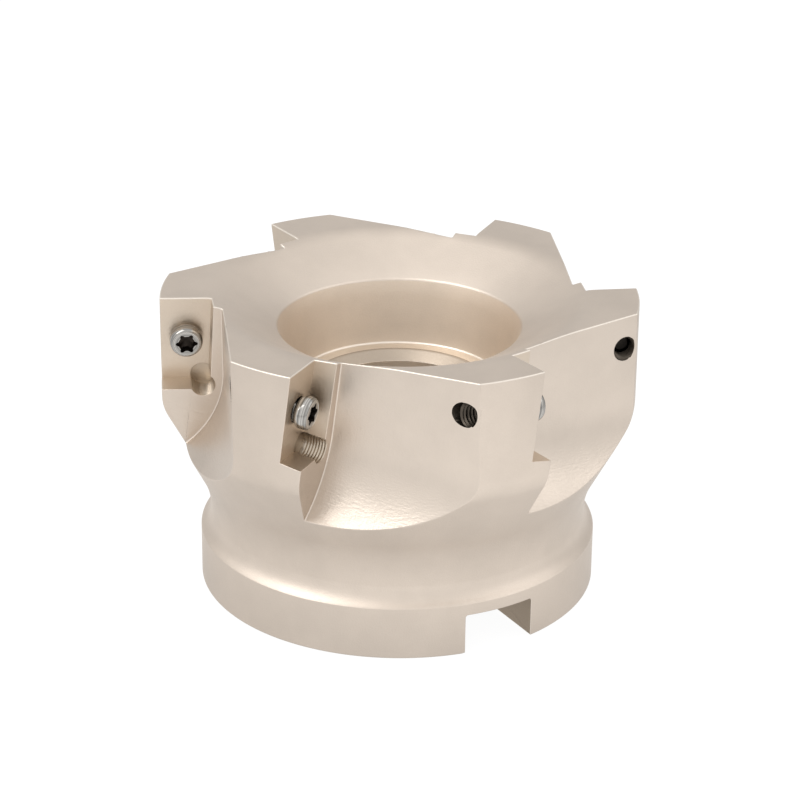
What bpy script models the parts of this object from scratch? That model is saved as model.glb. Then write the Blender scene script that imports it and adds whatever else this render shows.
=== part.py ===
# Indexable 90 degree face mill body with its six insert screws, no inserts fitted.
#
# The frame stands on the centre of the mounting face: +Z runs along the bore axis
# towards the cutting end, and the two drive slots open along -Y and +Y.
# Angles round the axis are in degrees, counted from -Y towards +X.

import math

import bmesh
import bpy
from mathutils import Matrix

# Every size below is in millimetres, and MM turns it into Blender's metres.
MM = 0.001

# Overall sizes of the turned blank
BODY_RADIUS = 39.25
BODY_HEIGHT = 50.0
TURNED_STEPS = 120

# Flange that rests against the arbor
FLANGE_RADIUS = 33.14
FLANGE_HEIGHT = 9.05
FOOT_CHAMFER = 0.35

# Waist: the flange's top flares up to a neck, a groove arc and a straight flank
# climb from it, and a shoulder arc meets the periphery
NECK_RADIUS = 30.55
NECK_HEIGHT = 12.25
FLARE_STEPS = 5
GROOVE_RADIUS = 10.1
GROOVE_STEPS = 4
FLANK_ANGLE = 27.8
SHOULDER_RADIUS = 8.0
SHOULDER_STEPS = 4

# Front face: a nearly flat ring, a blend, then a cone down to the counterbore
RING_FALL = 0.12
DISH_CORNER_RADIUS = 30.16
DISH_BLEND = 1.9
DISH_BLEND_STEPS = 4

# Counterbore for the arbor's bolt, narrowing to its seat, and the arbor bore
COUNTERBORE_RADIUS = 20.0
COUNTERBORE_RIM_HEIGHT = 44.8
COUNTERBORE_RIM_CHAMFER = 0.4
BOLT_SEAT_RADIUS = 17.5
BOLT_SEAT_HEIGHT = 33.85
BORE_RADIUS = 13.5
BORE_TOP_CHAMFER = 1.6
BORE_BACK_CHAMFER = 0.8

# Drive slots across the mounting face
SLOT_WIDTH = 12.4
SLOT_DEPTH = 7.0
SLOT_CHAMFER = 0.3
SLOT_CORNER_RADIUS = 0.8
SLOT_CORNER_STEPS = 3

# Teeth
TOOTH_COUNT = 6
FIRST_SEAT_ANGLE = 4.6
AXIAL_RAKE = 7.5

# Each tooth is cut in its seat's own frame: x runs outwards along the seat, y stands
# out of the seat, and z climbs the seat, with zero on the bore axis at the front face

# Gullet in front of each tooth: the tooth's face, a flat wall, and a round floor
TOOTH_FACE_OFFSET = 3.72
GULLET_WALL_RADIUS = 29.17
GULLET_WALL_SKEW = 1.6
GULLET_WALL_LEAN = 0.65
GULLET_FLOOR_RADIUS = 17.0
GULLET_FLOOR_DOWN = 12.05
GULLET_FLOOR_STEPS = 12
GULLET_CORNER_RADIUS = 0.25
GULLET_CORNER_STEPS = 2
GULLET_REACH = 34.0
GULLET_TOP = 9.0

# Insert pocket
POCKET_WALL = 30.83
POCKET_WALL_LEAN = 2.7
POCKET_DEPTH_DOWN = 14.92
POCKET_SPLAY = 3.5
POCKET_REACH = 7.0

# Round relief in the pocket's corner
RELIEF_X = 32.45
RELIEF_DOWN = 14.4
RELIEF_RADIUS = 1.95
RELIEF_EXTRA_DEPTH = 0.4

# Tapped hole through each tooth, bored at the mean diameter of its M4 thread and
# leaning outwards as it runs into the tooth
SCREW_X = 35.1
SCREW_DOWN = 7.2
SCREW_LEAN = 2.4
TAPPED_RADIUS = 1.775
TAPPED_CHAMFER = 0.4
TAPPED_REACH = 17.0
HOLE_STEPS = 24

# Insert screw, M4 with a six-lobe socket; its shank stands for the thread's core
SCREW_BELOW_SEAT = 7.6
SCREW_TIP_CHAMFER = 0.5
SCREW_SHANK_RADIUS = 1.45
SCREW_SEAT_GAP = 0.45
SCREW_CONE_RADIUS = 2.0
SCREW_HEAD_RADIUS = 2.72
SCREW_CONE_ANGLE = 30.0
SCREW_RIM_HEIGHT = 0.25
SCREW_CROWN_RADIUS = 1.9
SCREW_CROWN_BULGE_IN = 0.35
SCREW_CROWN_BULGE_UP = 0.7
SCREW_HEAD_TOP = 2.65
SOCKET_POINTS = 3.35
SOCKET_FLATS = 2.4
SOCKET_LOBE_RADIUS = 0.267
SOCKET_DEPTH = 1.5
SOCKET_LOBE_STEPS = 2
SOCKET_FLUTE_STEPS = 3

# How far cutters stand past the metal that they cut
OVERCUT = 4.0


def arc(centre_x, centre_z, radius, start, end, steps):
    """Points of an arc in the x-z plane, angles in degrees from +x."""
    points = []
    for i in range(steps + 1):
        angle = math.radians(start + (end - start) * i / steps)
        x = centre_x + radius * math.cos(angle)
        z = centre_z + radius * math.sin(angle)
        points.append((x, z))
    return points


def make_object(name, bm, material=None):
    """Turns a bmesh that was drawn in millimetres into an object."""
    bmesh.ops.scale(bm, verts=bm.verts, vec=(MM, MM, MM))
    bmesh.ops.recalc_face_normals(bm, faces=bm.faces)
    mesh = bpy.data.meshes.new(name)
    bm.to_mesh(mesh)
    bm.free()
    mesh.shade_smooth()
    mesh.set_sharp_from_angle(angle=math.radians(35))
    if material:
        mesh.materials.append(material)
    obj = bpy.data.objects.new(name, mesh)
    bpy.context.collection.objects.link(obj)
    return obj


def revolve(outline, steps):
    """Closed outline of (radius, height) points, spun round Z into a ring."""
    bm = bmesh.new()
    verts = [bm.verts.new((r, 0.0, z)) for r, z in outline]
    edges = [bm.edges.new((verts[i - 1], verts[i])) for i in range(len(verts))]
    bmesh.ops.spin(
        bm,
        geom=verts + edges,
        cent=(0, 0, 0),
        axis=(0, 0, 1),
        angle=math.tau,
        steps=steps,
        use_merge=True,
    )
    bmesh.ops.remove_doubles(bm, verts=bm.verts, dist=0.0001)
    return bm


def stack_rings(rings):
    """Rings of points with equal counts, skinned and capped into one body."""
    bm = bmesh.new()
    loops = [[bm.verts.new(point) for point in ring] for ring in rings]
    for lower, upper in zip(loops, loops[1:]):
        for i in range(len(lower)):
            bm.faces.new((lower[i - 1], lower[i], upper[i], upper[i - 1]))
    bm.faces.new(loops[0])
    bm.faces.new(loops[-1])
    return bm


def mark_as_cutter(obj):
    obj.hide_render = True
    obj.display_type = "WIRE"
    return obj


def cut(body, cutter):
    modifier = body.modifiers.new(cutter.name, "BOOLEAN")
    modifier.operation = "DIFFERENCE"
    modifier.solver = "EXACT"
    modifier.object = mark_as_cutter(cutter)


def satin_nickel():
    material = bpy.data.materials.new("satin_nickel")
    material.use_nodes = True
    shader = material.node_tree.nodes["Principled BSDF"]
    shader.inputs["Base Color"].default_value = (0.62, 0.54, 0.47, 1.0)
    shader.inputs["Metallic"].default_value = 1.0
    shader.inputs["Roughness"].default_value = 0.38
    return material


def bright_steel():
    material = bpy.data.materials.new("bright_steel")
    material.use_nodes = True
    shader = material.node_tree.nodes["Principled BSDF"]
    shader.inputs["Base Color"].default_value = (0.66, 0.66, 0.68, 1.0)
    shader.inputs["Metallic"].default_value = 1.0
    shader.inputs["Roughness"].default_value = 0.18
    return material


def waist_outline():
    """From the flange's top edge up to the periphery."""
    flank = math.radians(FLANK_ANGLE)
    run = FLANGE_RADIUS - NECK_RADIUS
    rise = NECK_HEIGHT - FLANGE_HEIGHT
    # The flare is the arc through the flange's edge that is upright at the neck
    flare = (run**2 + rise**2) / (2 * run)
    sweep = math.degrees(math.atan2(rise, flare - run))
    points = arc(NECK_RADIUS + flare, NECK_HEIGHT, flare, 180 + sweep, 180, FLARE_STEPS)
    groove_centre = NECK_RADIUS + GROOVE_RADIUS
    groove_end = 180 - FLANK_ANGLE
    groove = arc(groove_centre, NECK_HEIGHT, GROOVE_RADIUS, 180, groove_end, GROOVE_STEPS)
    points += groove[1:]
    flank_foot_radius, flank_foot_height = points[-1]
    shoulder_centre = BODY_RADIUS - SHOULDER_RADIUS
    flank_top_radius = shoulder_centre + SHOULDER_RADIUS * math.cos(flank)
    climb = (flank_top_radius - flank_foot_radius) / math.tan(flank)
    shoulder_height = flank_foot_height + climb + SHOULDER_RADIUS * math.sin(flank)
    shoulder = arc(shoulder_centre, shoulder_height, SHOULDER_RADIUS, -FLANK_ANGLE, 0, SHOULDER_STEPS)
    return points + shoulder


def dish_outline():
    """Blend from the front ring into the cone that falls to the counterbore."""
    ring_run = BODY_RADIUS - DISH_CORNER_RADIUS
    corner_height = BODY_HEIGHT - RING_FALL
    cone_run = DISH_CORNER_RADIUS - COUNTERBORE_RADIUS - COUNTERBORE_RIM_CHAMFER
    ring_angle = math.degrees(math.atan2(RING_FALL, ring_run))
    cone_angle = math.degrees(math.atan2(corner_height - COUNTERBORE_RIM_HEIGHT, cone_run))
    radius = DISH_BLEND / math.tan(math.radians(cone_angle - ring_angle) / 2)
    # The arc's centre lies under the point where it leaves the ring
    lean = math.radians(90 + ring_angle)
    start_r = DISH_CORNER_RADIUS + DISH_BLEND * math.cos(math.radians(ring_angle))
    start_z = corner_height + DISH_BLEND * math.sin(math.radians(ring_angle))
    centre_r = start_r - radius * math.cos(lean)
    centre_z = start_z - radius * math.sin(lean)
    return arc(centre_r, centre_z, radius, 90 + ring_angle, 90 + cone_angle, DISH_BLEND_STEPS)


def body_outline():
    """Half section of the turned blank, from the foot round to the bore."""
    rim_radius = COUNTERBORE_RADIUS + COUNTERBORE_RIM_CHAMFER
    points = [
        (FLANGE_RADIUS - FOOT_CHAMFER, 0.0),
        (FLANGE_RADIUS, FOOT_CHAMFER),
    ]
    points += waist_outline()
    points.append((BODY_RADIUS, BODY_HEIGHT))
    points += dish_outline()
    points += [
        (rim_radius, COUNTERBORE_RIM_HEIGHT),
        (COUNTERBORE_RADIUS, COUNTERBORE_RIM_HEIGHT - COUNTERBORE_RIM_CHAMFER),
        (BOLT_SEAT_RADIUS, BOLT_SEAT_HEIGHT),
        (BORE_RADIUS + BORE_TOP_CHAMFER, BOLT_SEAT_HEIGHT),
        (BORE_RADIUS, BOLT_SEAT_HEIGHT - BORE_TOP_CHAMFER),
        (BORE_RADIUS, BORE_BACK_CHAMFER),
        (BORE_RADIUS + BORE_BACK_CHAMFER, 0.0),
    ]
    return points


def drive_slot_cutter():
    """One bar across the mounting face that opens both slots."""
    half = SLOT_WIDTH / 2
    corner = SLOT_CORNER_RADIUS
    mouth = half + SLOT_CHAMFER + OVERCUT
    right = [(mouth, -OVERCUT), (half, SLOT_CHAMFER)]
    right += arc(half - corner, SLOT_DEPTH - corner, corner, 0, 90, SLOT_CORNER_STEPS)
    outline = right + [(-x, z) for x, z in reversed(right)]
    reach = FLANGE_RADIUS + OVERCUT
    rings = [[(x, y, z) for x, z in outline] for y in (-reach, reach)]
    return make_object("drive_slot_cutter", stack_rings(rings))


def gullet_outline():
    """Gullet section with x counted from its wall: wall, round floor, then open air."""
    radius = GULLET_FLOOR_RADIUS
    outside = BODY_RADIUS + OVERCUT - GULLET_WALL_RADIUS
    end = 180 + math.degrees(math.acos((radius - outside) / radius))
    points = [(0.0, GULLET_TOP)]
    points += arc(radius, -GULLET_FLOOR_DOWN, radius, 180, end, GULLET_FLOOR_STEPS)
    points.append((outside, GULLET_TOP))
    return points


def gullet_cutter(name):
    """Prism whose near end is the plane of the tooth's face."""
    outline = gullet_outline()
    shift = (GULLET_REACH - TOOTH_FACE_OFFSET) * math.tan(math.radians(GULLET_WALL_SKEW))
    near = [(x, TOOTH_FACE_OFFSET, z) for x, z in outline]
    far = [(x - shift, GULLET_REACH, z) for x, z in outline]
    bm = stack_rings([near, far])
    bm.verts.ensure_lookup_table()
    root_verts = set(bm.verts[0 : len(outline) - 1])
    root_edges = [edge for edge in bm.edges if root_verts.issuperset(edge.verts)]
    bmesh.ops.bevel(
        bm,
        geom=root_edges,
        offset=GULLET_CORNER_RADIUS,
        segments=GULLET_CORNER_STEPS,
        profile=0.5,
        affect="EDGES",
        clamp_overlap=True,
    )
    return make_object(name, bm)


def pocket_cutter(name):
    """Insert pocket in the seat's frame, opening outwards by its splay."""
    lean = math.tan(math.radians(POCKET_WALL_LEAN))
    splay = math.tan(math.radians(POCKET_SPLAY))
    outside = BODY_RADIUS + OVERCUT
    rings = []
    for y in (0.0, POCKET_REACH):
        wall = POCKET_WALL - y * splay
        floor = POCKET_DEPTH_DOWN + y * splay
        rings.append(
            [
                (wall - OVERCUT * lean, y, OVERCUT),
                (wall + floor * lean, y, -floor),
                (outside, y, -floor),
                (outside, y, OVERCUT),
            ]
        )
    return make_object(name, stack_rings(rings))


def turned_along_y(outline, steps):
    """(radius, y) points as rings round the y axis."""
    rings = []
    for radius, y in outline:
        ring = []
        for i in range(steps):
            angle = math.tau * i / steps
            ring.append((radius * math.cos(angle), y, radius * math.sin(angle)))
        rings.append(ring)
    return rings


def relief_cutter(name):
    outline = [(RELIEF_RADIUS, -RELIEF_EXTRA_DEPTH), (RELIEF_RADIUS, POCKET_REACH)]
    return make_object(name, stack_rings(turned_along_y(outline, HOLE_STEPS)))


def tapped_hole_cutter(name):
    outline = [
        (TAPPED_RADIUS, -TAPPED_REACH),
        (TAPPED_RADIUS, -TAPPED_CHAMFER),
        (TAPPED_RADIUS + TAPPED_CHAMFER, 0.0),
        (TAPPED_RADIUS + TAPPED_CHAMFER, OVERCUT),
    ]
    return make_object(name, stack_rings(turned_along_y(outline, HOLE_STEPS)))


def socket_outline():
    """Six-lobe socket: round points joined by round flutes, each tangent to the next."""
    lobe = SOCKET_LOBE_RADIUS
    lobe_centre = SOCKET_POINTS / 2 - lobe
    root = SOCKET_FLATS / 2
    cos30 = math.cos(math.radians(30))
    # Radius at which a flute's arc touches the lobes beside it
    top = root**2 + lobe_centre**2 - 2 * root * lobe_centre * cos30 - lobe**2
    flute = top / (2 * lobe + 2 * lobe_centre * cos30 - 2 * root)
    flute_centre = root + flute
    # Direction from a lobe's centre to the flute's centre
    flute_x = flute_centre * cos30 - lobe_centre
    flute_z = flute_centre * 0.5
    touch = math.degrees(math.atan2(flute_z, flute_x))
    swing = touch - 30
    points = []
    for k in range(6):
        turn = 60 * k
        lobe_x = lobe_centre * math.cos(math.radians(turn))
        lobe_z = lobe_centre * math.sin(math.radians(turn))
        points += arc(lobe_x, lobe_z, lobe, turn - touch, turn + touch, SOCKET_LOBE_STEPS)
        flute_turn = math.radians(turn + 30)
        flute_at_x = flute_centre * math.cos(flute_turn)
        flute_at_z = flute_centre * math.sin(flute_turn)
        start = turn + 210 + swing
        end = turn + 210 - swing
        flute_points = arc(flute_at_x, flute_at_z, flute, start, end, SOCKET_FLUTE_STEPS)
        points += flute_points[1:-1]
    return points


def head_ring(socket, radius, y):
    """Ring of the head whose points stand in line with the socket's points."""
    ring = []
    for x, z in socket:
        angle = math.atan2(z, x)
        ring.append((radius * math.cos(angle), y, radius * math.sin(angle)))
    return ring


def insert_screw(name, material):
    """Screw along y, with y = 0 in the seat's plane and its head standing out."""
    socket = socket_outline()
    cone_rise = (SCREW_HEAD_RADIUS - SCREW_CONE_RADIUS) / math.tan(math.radians(SCREW_CONE_ANGLE))
    rim_foot = SCREW_SEAT_GAP + cone_rise
    rim_top = rim_foot + SCREW_RIM_HEIGHT
    crown_step = (SCREW_HEAD_RADIUS - SCREW_CROWN_RADIUS) * SCREW_CROWN_BULGE_IN
    crown_rise = (SCREW_HEAD_TOP - rim_top) * SCREW_CROWN_BULGE_UP
    tip_radius = SCREW_SHANK_RADIUS - SCREW_TIP_CHAMFER
    turned = [
        (tip_radius, -SCREW_BELOW_SEAT),
        (SCREW_SHANK_RADIUS, -SCREW_BELOW_SEAT + SCREW_TIP_CHAMFER),
        (SCREW_SHANK_RADIUS, SCREW_SEAT_GAP),
        (SCREW_CONE_RADIUS, SCREW_SEAT_GAP),
        (SCREW_HEAD_RADIUS, rim_foot),
        (SCREW_HEAD_RADIUS, rim_top),
        (SCREW_HEAD_RADIUS - crown_step, rim_top + crown_rise),
        (SCREW_CROWN_RADIUS, SCREW_HEAD_TOP),
    ]
    rings = [head_ring(socket, radius, y) for radius, y in turned]
    rings.append([(x, SCREW_HEAD_TOP, z) for x, z in socket])
    rings.append([(x, SCREW_HEAD_TOP - SOCKET_DEPTH, z) for x, z in socket])
    return make_object(name, stack_rings(rings), material)


def seat_frame(number):
    """Empty in the seat's plane, on the bore axis at the front face."""
    empty = bpy.data.objects.new(f"seat_{number}", None)
    bpy.context.collection.objects.link(empty)
    angle = FIRST_SEAT_ANGLE + 360 * (number - 1) / TOOTH_COUNT
    turn = Matrix.Rotation(math.radians(angle - 90), 4, "Z")
    tilt = Matrix.Rotation(math.radians(-AXIAL_RAKE), 4, "X")
    lift = Matrix.Translation((0, 0, BODY_HEIGHT * MM))
    empty.matrix_world = lift @ turn @ tilt
    return empty


def place_in_seat(obj, seat, x=0.0, down=0.0):
    obj.parent = seat
    obj.location = (x * MM, 0, -down * MM)


def cut_tooth(body, number, seat):
    gullet = gullet_cutter(f"gullet_cutter_{number}")
    place_in_seat(gullet, seat, GULLET_WALL_RADIUS)
    gullet.rotation_euler.y = math.radians(GULLET_WALL_LEAN)
    pocket = pocket_cutter(f"pocket_cutter_{number}")
    place_in_seat(pocket, seat)
    relief = relief_cutter(f"relief_cutter_{number}")
    place_in_seat(relief, seat, RELIEF_X, RELIEF_DOWN)
    tapped = tapped_hole_cutter(f"tapped_hole_cutter_{number}")
    place_in_seat(tapped, seat, SCREW_X, SCREW_DOWN)
    tapped.rotation_euler.z = math.radians(SCREW_LEAN)
    for cutter in (gullet, pocket, relief, tapped):
        cut(body, cutter)


def main():
    for obj in list(bpy.data.objects):
        bpy.data.objects.remove(obj, do_unlink=True)
    nickel = satin_nickel()
    steel = bright_steel()
    body = make_object("cutter_body", revolve(body_outline(), TURNED_STEPS), nickel)
    cut(body, drive_slot_cutter())
    for number in range(1, TOOTH_COUNT + 1):
        seat = seat_frame(number)
        cut_tooth(body, number, seat)
        screw = insert_screw(f"insert_screw_{number}", steel)
        place_in_seat(screw, seat, SCREW_X, SCREW_DOWN)
        screw.rotation_euler.z = math.radians(SCREW_LEAN)


main()
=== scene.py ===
import math

import bpy
from mathutils import Matrix, Vector
from mathutils.bvhtree import BVHTree


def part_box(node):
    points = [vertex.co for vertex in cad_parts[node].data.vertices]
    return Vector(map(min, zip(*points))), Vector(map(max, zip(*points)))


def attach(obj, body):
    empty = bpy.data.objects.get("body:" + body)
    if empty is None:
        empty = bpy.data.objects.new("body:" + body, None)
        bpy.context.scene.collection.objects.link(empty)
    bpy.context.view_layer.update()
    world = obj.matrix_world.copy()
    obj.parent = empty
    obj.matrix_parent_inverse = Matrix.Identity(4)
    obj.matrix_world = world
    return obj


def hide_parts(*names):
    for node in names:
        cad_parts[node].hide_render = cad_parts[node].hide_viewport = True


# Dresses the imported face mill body: a finely turned and milled copy of the body, its six
# insert screws and the threads of their holes, then the finishes, the light and the camera.
# Sizes are in millimetres, and mm turns them into metres. The bore stands along Z.

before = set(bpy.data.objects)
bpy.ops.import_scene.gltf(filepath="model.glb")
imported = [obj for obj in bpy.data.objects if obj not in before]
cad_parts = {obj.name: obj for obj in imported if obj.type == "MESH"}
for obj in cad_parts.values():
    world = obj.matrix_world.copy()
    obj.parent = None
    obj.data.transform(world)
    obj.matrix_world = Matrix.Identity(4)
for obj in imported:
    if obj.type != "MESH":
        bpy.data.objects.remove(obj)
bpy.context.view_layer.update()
mm = 0.001
snap = 0.01  # millimetres within which a point counts as lying in a plane
toothCount = len([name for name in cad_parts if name.startswith("insert_screw")])
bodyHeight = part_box("cutter_body")[1].z / mm
print("frame loaded, body height", round(bodyHeight, 2), "mm,", toothCount, "teeth")


# Small helpers for working in object and edit mode

def clearSelection():
    if bpy.context.object and bpy.context.object.mode != "OBJECT":
        bpy.ops.object.mode_set(mode="OBJECT")
    bpy.ops.object.select_all(action="DESELECT")


def makeActive(obj):
    clearSelection()
    obj.select_set(True)
    bpy.context.view_layer.objects.active = obj
    return obj


def nameNew(name):
    obj = bpy.context.object
    obj.name = name
    obj.data.name = name
    return obj


def clearMesh(obj, kind):
    # leaves nothing of the mesh selected, and the select mode on points or on edges
    makeActive(obj)
    bpy.ops.object.mode_set(mode="EDIT")
    bpy.ops.mesh.select_mode(type=kind)
    bpy.ops.mesh.select_all(action="DESELECT")
    bpy.ops.object.mode_set(mode="OBJECT")


def selectPoints(obj, test):
    # leaves the object in edit mode with the points that pass selected, and their edges and faces
    clearMesh(obj, "VERT")
    for vert in obj.data.vertices:
        vert.select = test(vert.co / mm)
    bpy.ops.object.mode_set(mode="EDIT")


def selectEdges(obj, test):
    # the same for edges, which are tested by their two ends
    clearMesh(obj, "EDGE")
    places = [vert.co / mm for vert in obj.data.vertices]
    for edge in obj.data.edges:
        edge.select = test(places[edge.vertices[0]], places[edge.vertices[1]])
    bpy.ops.object.mode_set(mode="EDIT")


def nudge(x=0.0, z=0.0):
    bpy.ops.transform.translate(value=(x * mm, 0, z * mm))


def bevelSelected(width, segments):
    bpy.ops.mesh.bevel(
        offset=width * mm, segments=segments, profile=0.5, affect="EDGES", clamp_overlap=False
    )


def bakePlace(obj, matrix=None):
    # puts the object's place, turn and size into its mesh
    makeActive(obj)
    if matrix is not None:
        obj.matrix_world = matrix
    bpy.ops.object.transform_apply(location=True, rotation=True, scale=True)
    return obj


def copyOf(obj, name, matrix):
    makeActive(obj)
    bpy.ops.object.duplicate(linked=False)
    return bakePlace(nameNew(name), matrix)


def joinAll(pieces, name):
    clearSelection()
    for piece in pieces:
        piece.select_set(True)
    bpy.context.view_layer.objects.active = pieces[0]
    bpy.ops.object.join()
    return nameNew(name)


def carve(target, tool, operation="DIFFERENCE"):
    makeActive(target)
    modifier = target.modifiers.new("carve", "BOOLEAN")
    modifier.operation = operation
    modifier.solver = "EXACT"
    modifier.object = tool
    bpy.ops.object.modifier_apply(modifier=modifier.name)
    bpy.data.objects.remove(tool, do_unlink=True)
    return target


def recalcNormals(obj, merge=0.002):
    # closes the seams first, within the given distance in millimetres
    makeActive(obj)
    bpy.ops.object.mode_set(mode="EDIT")
    bpy.ops.mesh.select_all(action="SELECT")
    bpy.ops.mesh.remove_doubles(threshold=merge * mm)
    bpy.ops.mesh.normals_make_consistent(inside=False)
    bpy.ops.object.mode_set(mode="OBJECT")


def arcPoints(centreR, centreZ, radius, start, end, count):
    points = []
    for i in range(count + 1):
        angle = math.radians(start + (end - start) * i / count)
        points.append((centreR + radius * math.cos(angle), centreZ + radius * math.sin(angle)))
    return points


def stations(start, end, parts):
    # the points that split a straight line, without its ends, to keep the faces near square
    return [
        (start[0] + (end[0] - start[0]) * k / parts, start[1] + (end[1] - start[1]) * k / parts)
        for k in range(1, parts)
    ]


def turnProfile(profile, steps, name, closed=True):
    # draws a ring at the first point, then extrudes and scales it along the others; a closed
    # profile ends where it starts, and an open one gets a flat face at each end
    clearSelection()
    radius, height = profile[0]
    bpy.ops.mesh.primitive_circle_add(
        vertices=steps, radius=radius * mm, fill_type="NOTHING", location=(0, 0, height * mm)
    )
    obj = nameNew(name)
    bakePlace(obj)
    bpy.ops.object.mode_set(mode="EDIT")
    bpy.ops.mesh.select_mode(type="VERT")
    bpy.ops.mesh.select_all(action="SELECT")
    for nextRadius, nextHeight in profile[1:]:
        rise = (nextHeight - height) * mm
        bpy.ops.mesh.extrude_region_move(TRANSFORM_OT_translate={"value": (0, 0, rise)})
        grow = nextRadius / radius
        bpy.ops.transform.resize(
            value=(grow, grow, 1), center_override=(0, 0, nextHeight * mm)
        )
        radius, height = nextRadius, nextHeight
    if closed:
        bpy.ops.mesh.select_all(action="DESELECT")
        bpy.ops.mesh.select_non_manifold()
        bpy.ops.mesh.bridge_edge_loops()
    else:
        bpy.ops.mesh.edge_face_add()
        bpy.ops.mesh.select_all(action="DESELECT")
        bpy.ops.mesh.select_non_manifold()
        bpy.ops.mesh.edge_face_add()
    bpy.ops.object.mode_set(mode="OBJECT")
    recalcNormals(obj)
    return obj


# The turned blank

blank = {
    "steps": 300,
    "radius": 39.25,
    "flangeRadius": 33.14,
    "flangeHeight": 9.05,
    "footChamfer": 0.35,
    "flangeEdge": 0.15,
    "flangeEdgeSweep": 42,
    "neckRadius": 31.45,
    "neckHeight": 12.4,
    "grooveRadius": 16.4,
    "flankAngle": 27.8,
    "shoulderRadius": 8.0,
    "ringFall": 0.12,
    "dishCorner": 30.16,
    "dishBlend": 1.9,
    "counterboreRadius": 20.0,
    "counterboreRimHeight": 44.8,
    "counterboreChamfer": 0.4,
    "seatRadius": 17.5,
    "seatHeight": 33.85,
    "seatFillet": 0.35,
    "seatEdge": 0.25,
    "boreRadius": 13.5,
    "boreTopChamfer": 1.6,
    "boreBackChamfer": 0.8,
    "flareSteps": 14,
    "roundSteps": 10,
    "dishSteps": 5,
}


def waistProfile(b):
    # from the flange through the neck's groove, up the straight flank and round the shoulder
    flank = math.radians(b["flankAngle"])
    run = b["flangeRadius"] - b["neckRadius"]
    rise = b["neckHeight"] - b["flangeHeight"]
    flare = (run**2 + rise**2) / (2 * run)
    sweep = math.degrees(math.atan2(rise, flare - run))
    flareCentre = b["neckRadius"] + flare
    points = arcPoints(flareCentre, b["neckHeight"], flare, 180 + sweep, 180, b["flareSteps"])
    groove = b["grooveRadius"]
    grooveCentre = b["neckRadius"] + groove
    grooveEnd = 180 - b["flankAngle"]
    points += arcPoints(grooveCentre, b["neckHeight"], groove, 180, grooveEnd, b["roundSteps"])[1:]
    footRadius, footHeight = points[-1]
    shoulder = b["shoulderRadius"]
    topRadius = b["radius"] - shoulder + shoulder * math.cos(flank)
    climb = (topRadius - footRadius) / math.tan(flank)
    shoulderHeight = footHeight + climb + shoulder * math.sin(flank)
    points += stations((footRadius, footHeight), (topRadius, footHeight + climb), 4)
    centre = b["radius"] - shoulder
    points += arcPoints(centre, shoulderHeight, shoulder, -b["flankAngle"], 0, b["roundSteps"])
    return points


def dishProfile(b):
    # the blend from the front ring, which falls a little inwards, to the cone of the dish
    run = b["radius"] - b["dishCorner"]
    cornerHeight = bodyHeight - b["ringFall"]
    coneRun = b["dishCorner"] - b["counterboreRadius"] - b["counterboreChamfer"]
    ringAngle = math.degrees(math.atan2(b["ringFall"], run))
    coneAngle = math.degrees(math.atan2(cornerHeight - b["counterboreRimHeight"], coneRun))
    radius = b["dishBlend"] / math.tan(math.radians(coneAngle - ringAngle) / 2)
    lean = math.radians(90 + ringAngle)
    startR = b["dishCorner"] + b["dishBlend"] * math.cos(math.radians(ringAngle))
    startZ = cornerHeight + b["dishBlend"] * math.sin(math.radians(ringAngle))
    centreR = startR - radius * math.cos(lean)
    centreZ = startZ - radius * math.sin(lean)
    return arcPoints(centreR, centreZ, radius, 90 + ringAngle, 90 + coneAngle, b["dishSteps"])


def outsideProfile(b):
    # from the foot's chamfer up to the corner of the front face
    edge, flange, top = b["flangeEdge"], b["flangeRadius"], b["flangeHeight"]
    waist = waistProfile(b)
    points = [(flange - b["footChamfer"], 0.0), (flange, b["footChamfer"])]
    points += stations((flange, 0.0), (flange, top), 3)
    points += arcPoints(flange - edge, top - edge, edge, 0, b["flangeEdgeSweep"], 3)
    firstInside = next(i for i, point in enumerate(waist) if point[0] < flange - edge)
    points += waist[firstInside:]
    points += stations((b["radius"], waist[-1][1]), (b["radius"], bodyHeight), 4)
    points.append((b["radius"], bodyHeight))
    return points


def insideProfile(b):
    # from the front face's dish down the counterbore, over the bolt seat and through the bore
    points = dishProfile(b)
    rim, chamfer, rimZ = b["counterboreRadius"], b["counterboreChamfer"], b["counterboreRimHeight"]
    seat, seatZ, fillet = b["seatRadius"], b["seatHeight"], b["seatFillet"]
    bore, boreTop, lip = b["boreRadius"], b["seatHeight"] - b["boreTopChamfer"], b["seatEdge"]
    wallTop = rimZ - chamfer
    wallLean = (rim - seat) / (rimZ - chamfer - seatZ)
    points += stations(points[-1], (rim + chamfer, rimZ), 3)
    points += [(rim + chamfer, rimZ), (rim, wallTop)]
    points += stations((rim, wallTop), (seat, seatZ), 4)
    points += [
        (seat + wallLean * fillet, seatZ + fillet),
        (seat - fillet * 0.25, seatZ + fillet * 0.25),
        (seat - fillet, seatZ),
        (bore + b["boreTopChamfer"] + lip, seatZ),
        (bore + b["boreTopChamfer"] - lip * 0.7, seatZ - lip),
        (bore, boreTop),
    ]
    points += stations((bore, boreTop), (bore, b["boreBackChamfer"]), 6)
    points += [(bore, b["boreBackChamfer"]), (bore + b["boreBackChamfer"], 0.0)]
    return points


body = turnProfile(outsideProfile(blank) + insideProfile(blank), blank["steps"], "bodyBlank")
print("blank turned,", len(body.data.polygons), "faces")


# The cuts of one tooth, in its seat's frame: x runs outwards, y stands out of the seat, z climbs it

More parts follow.
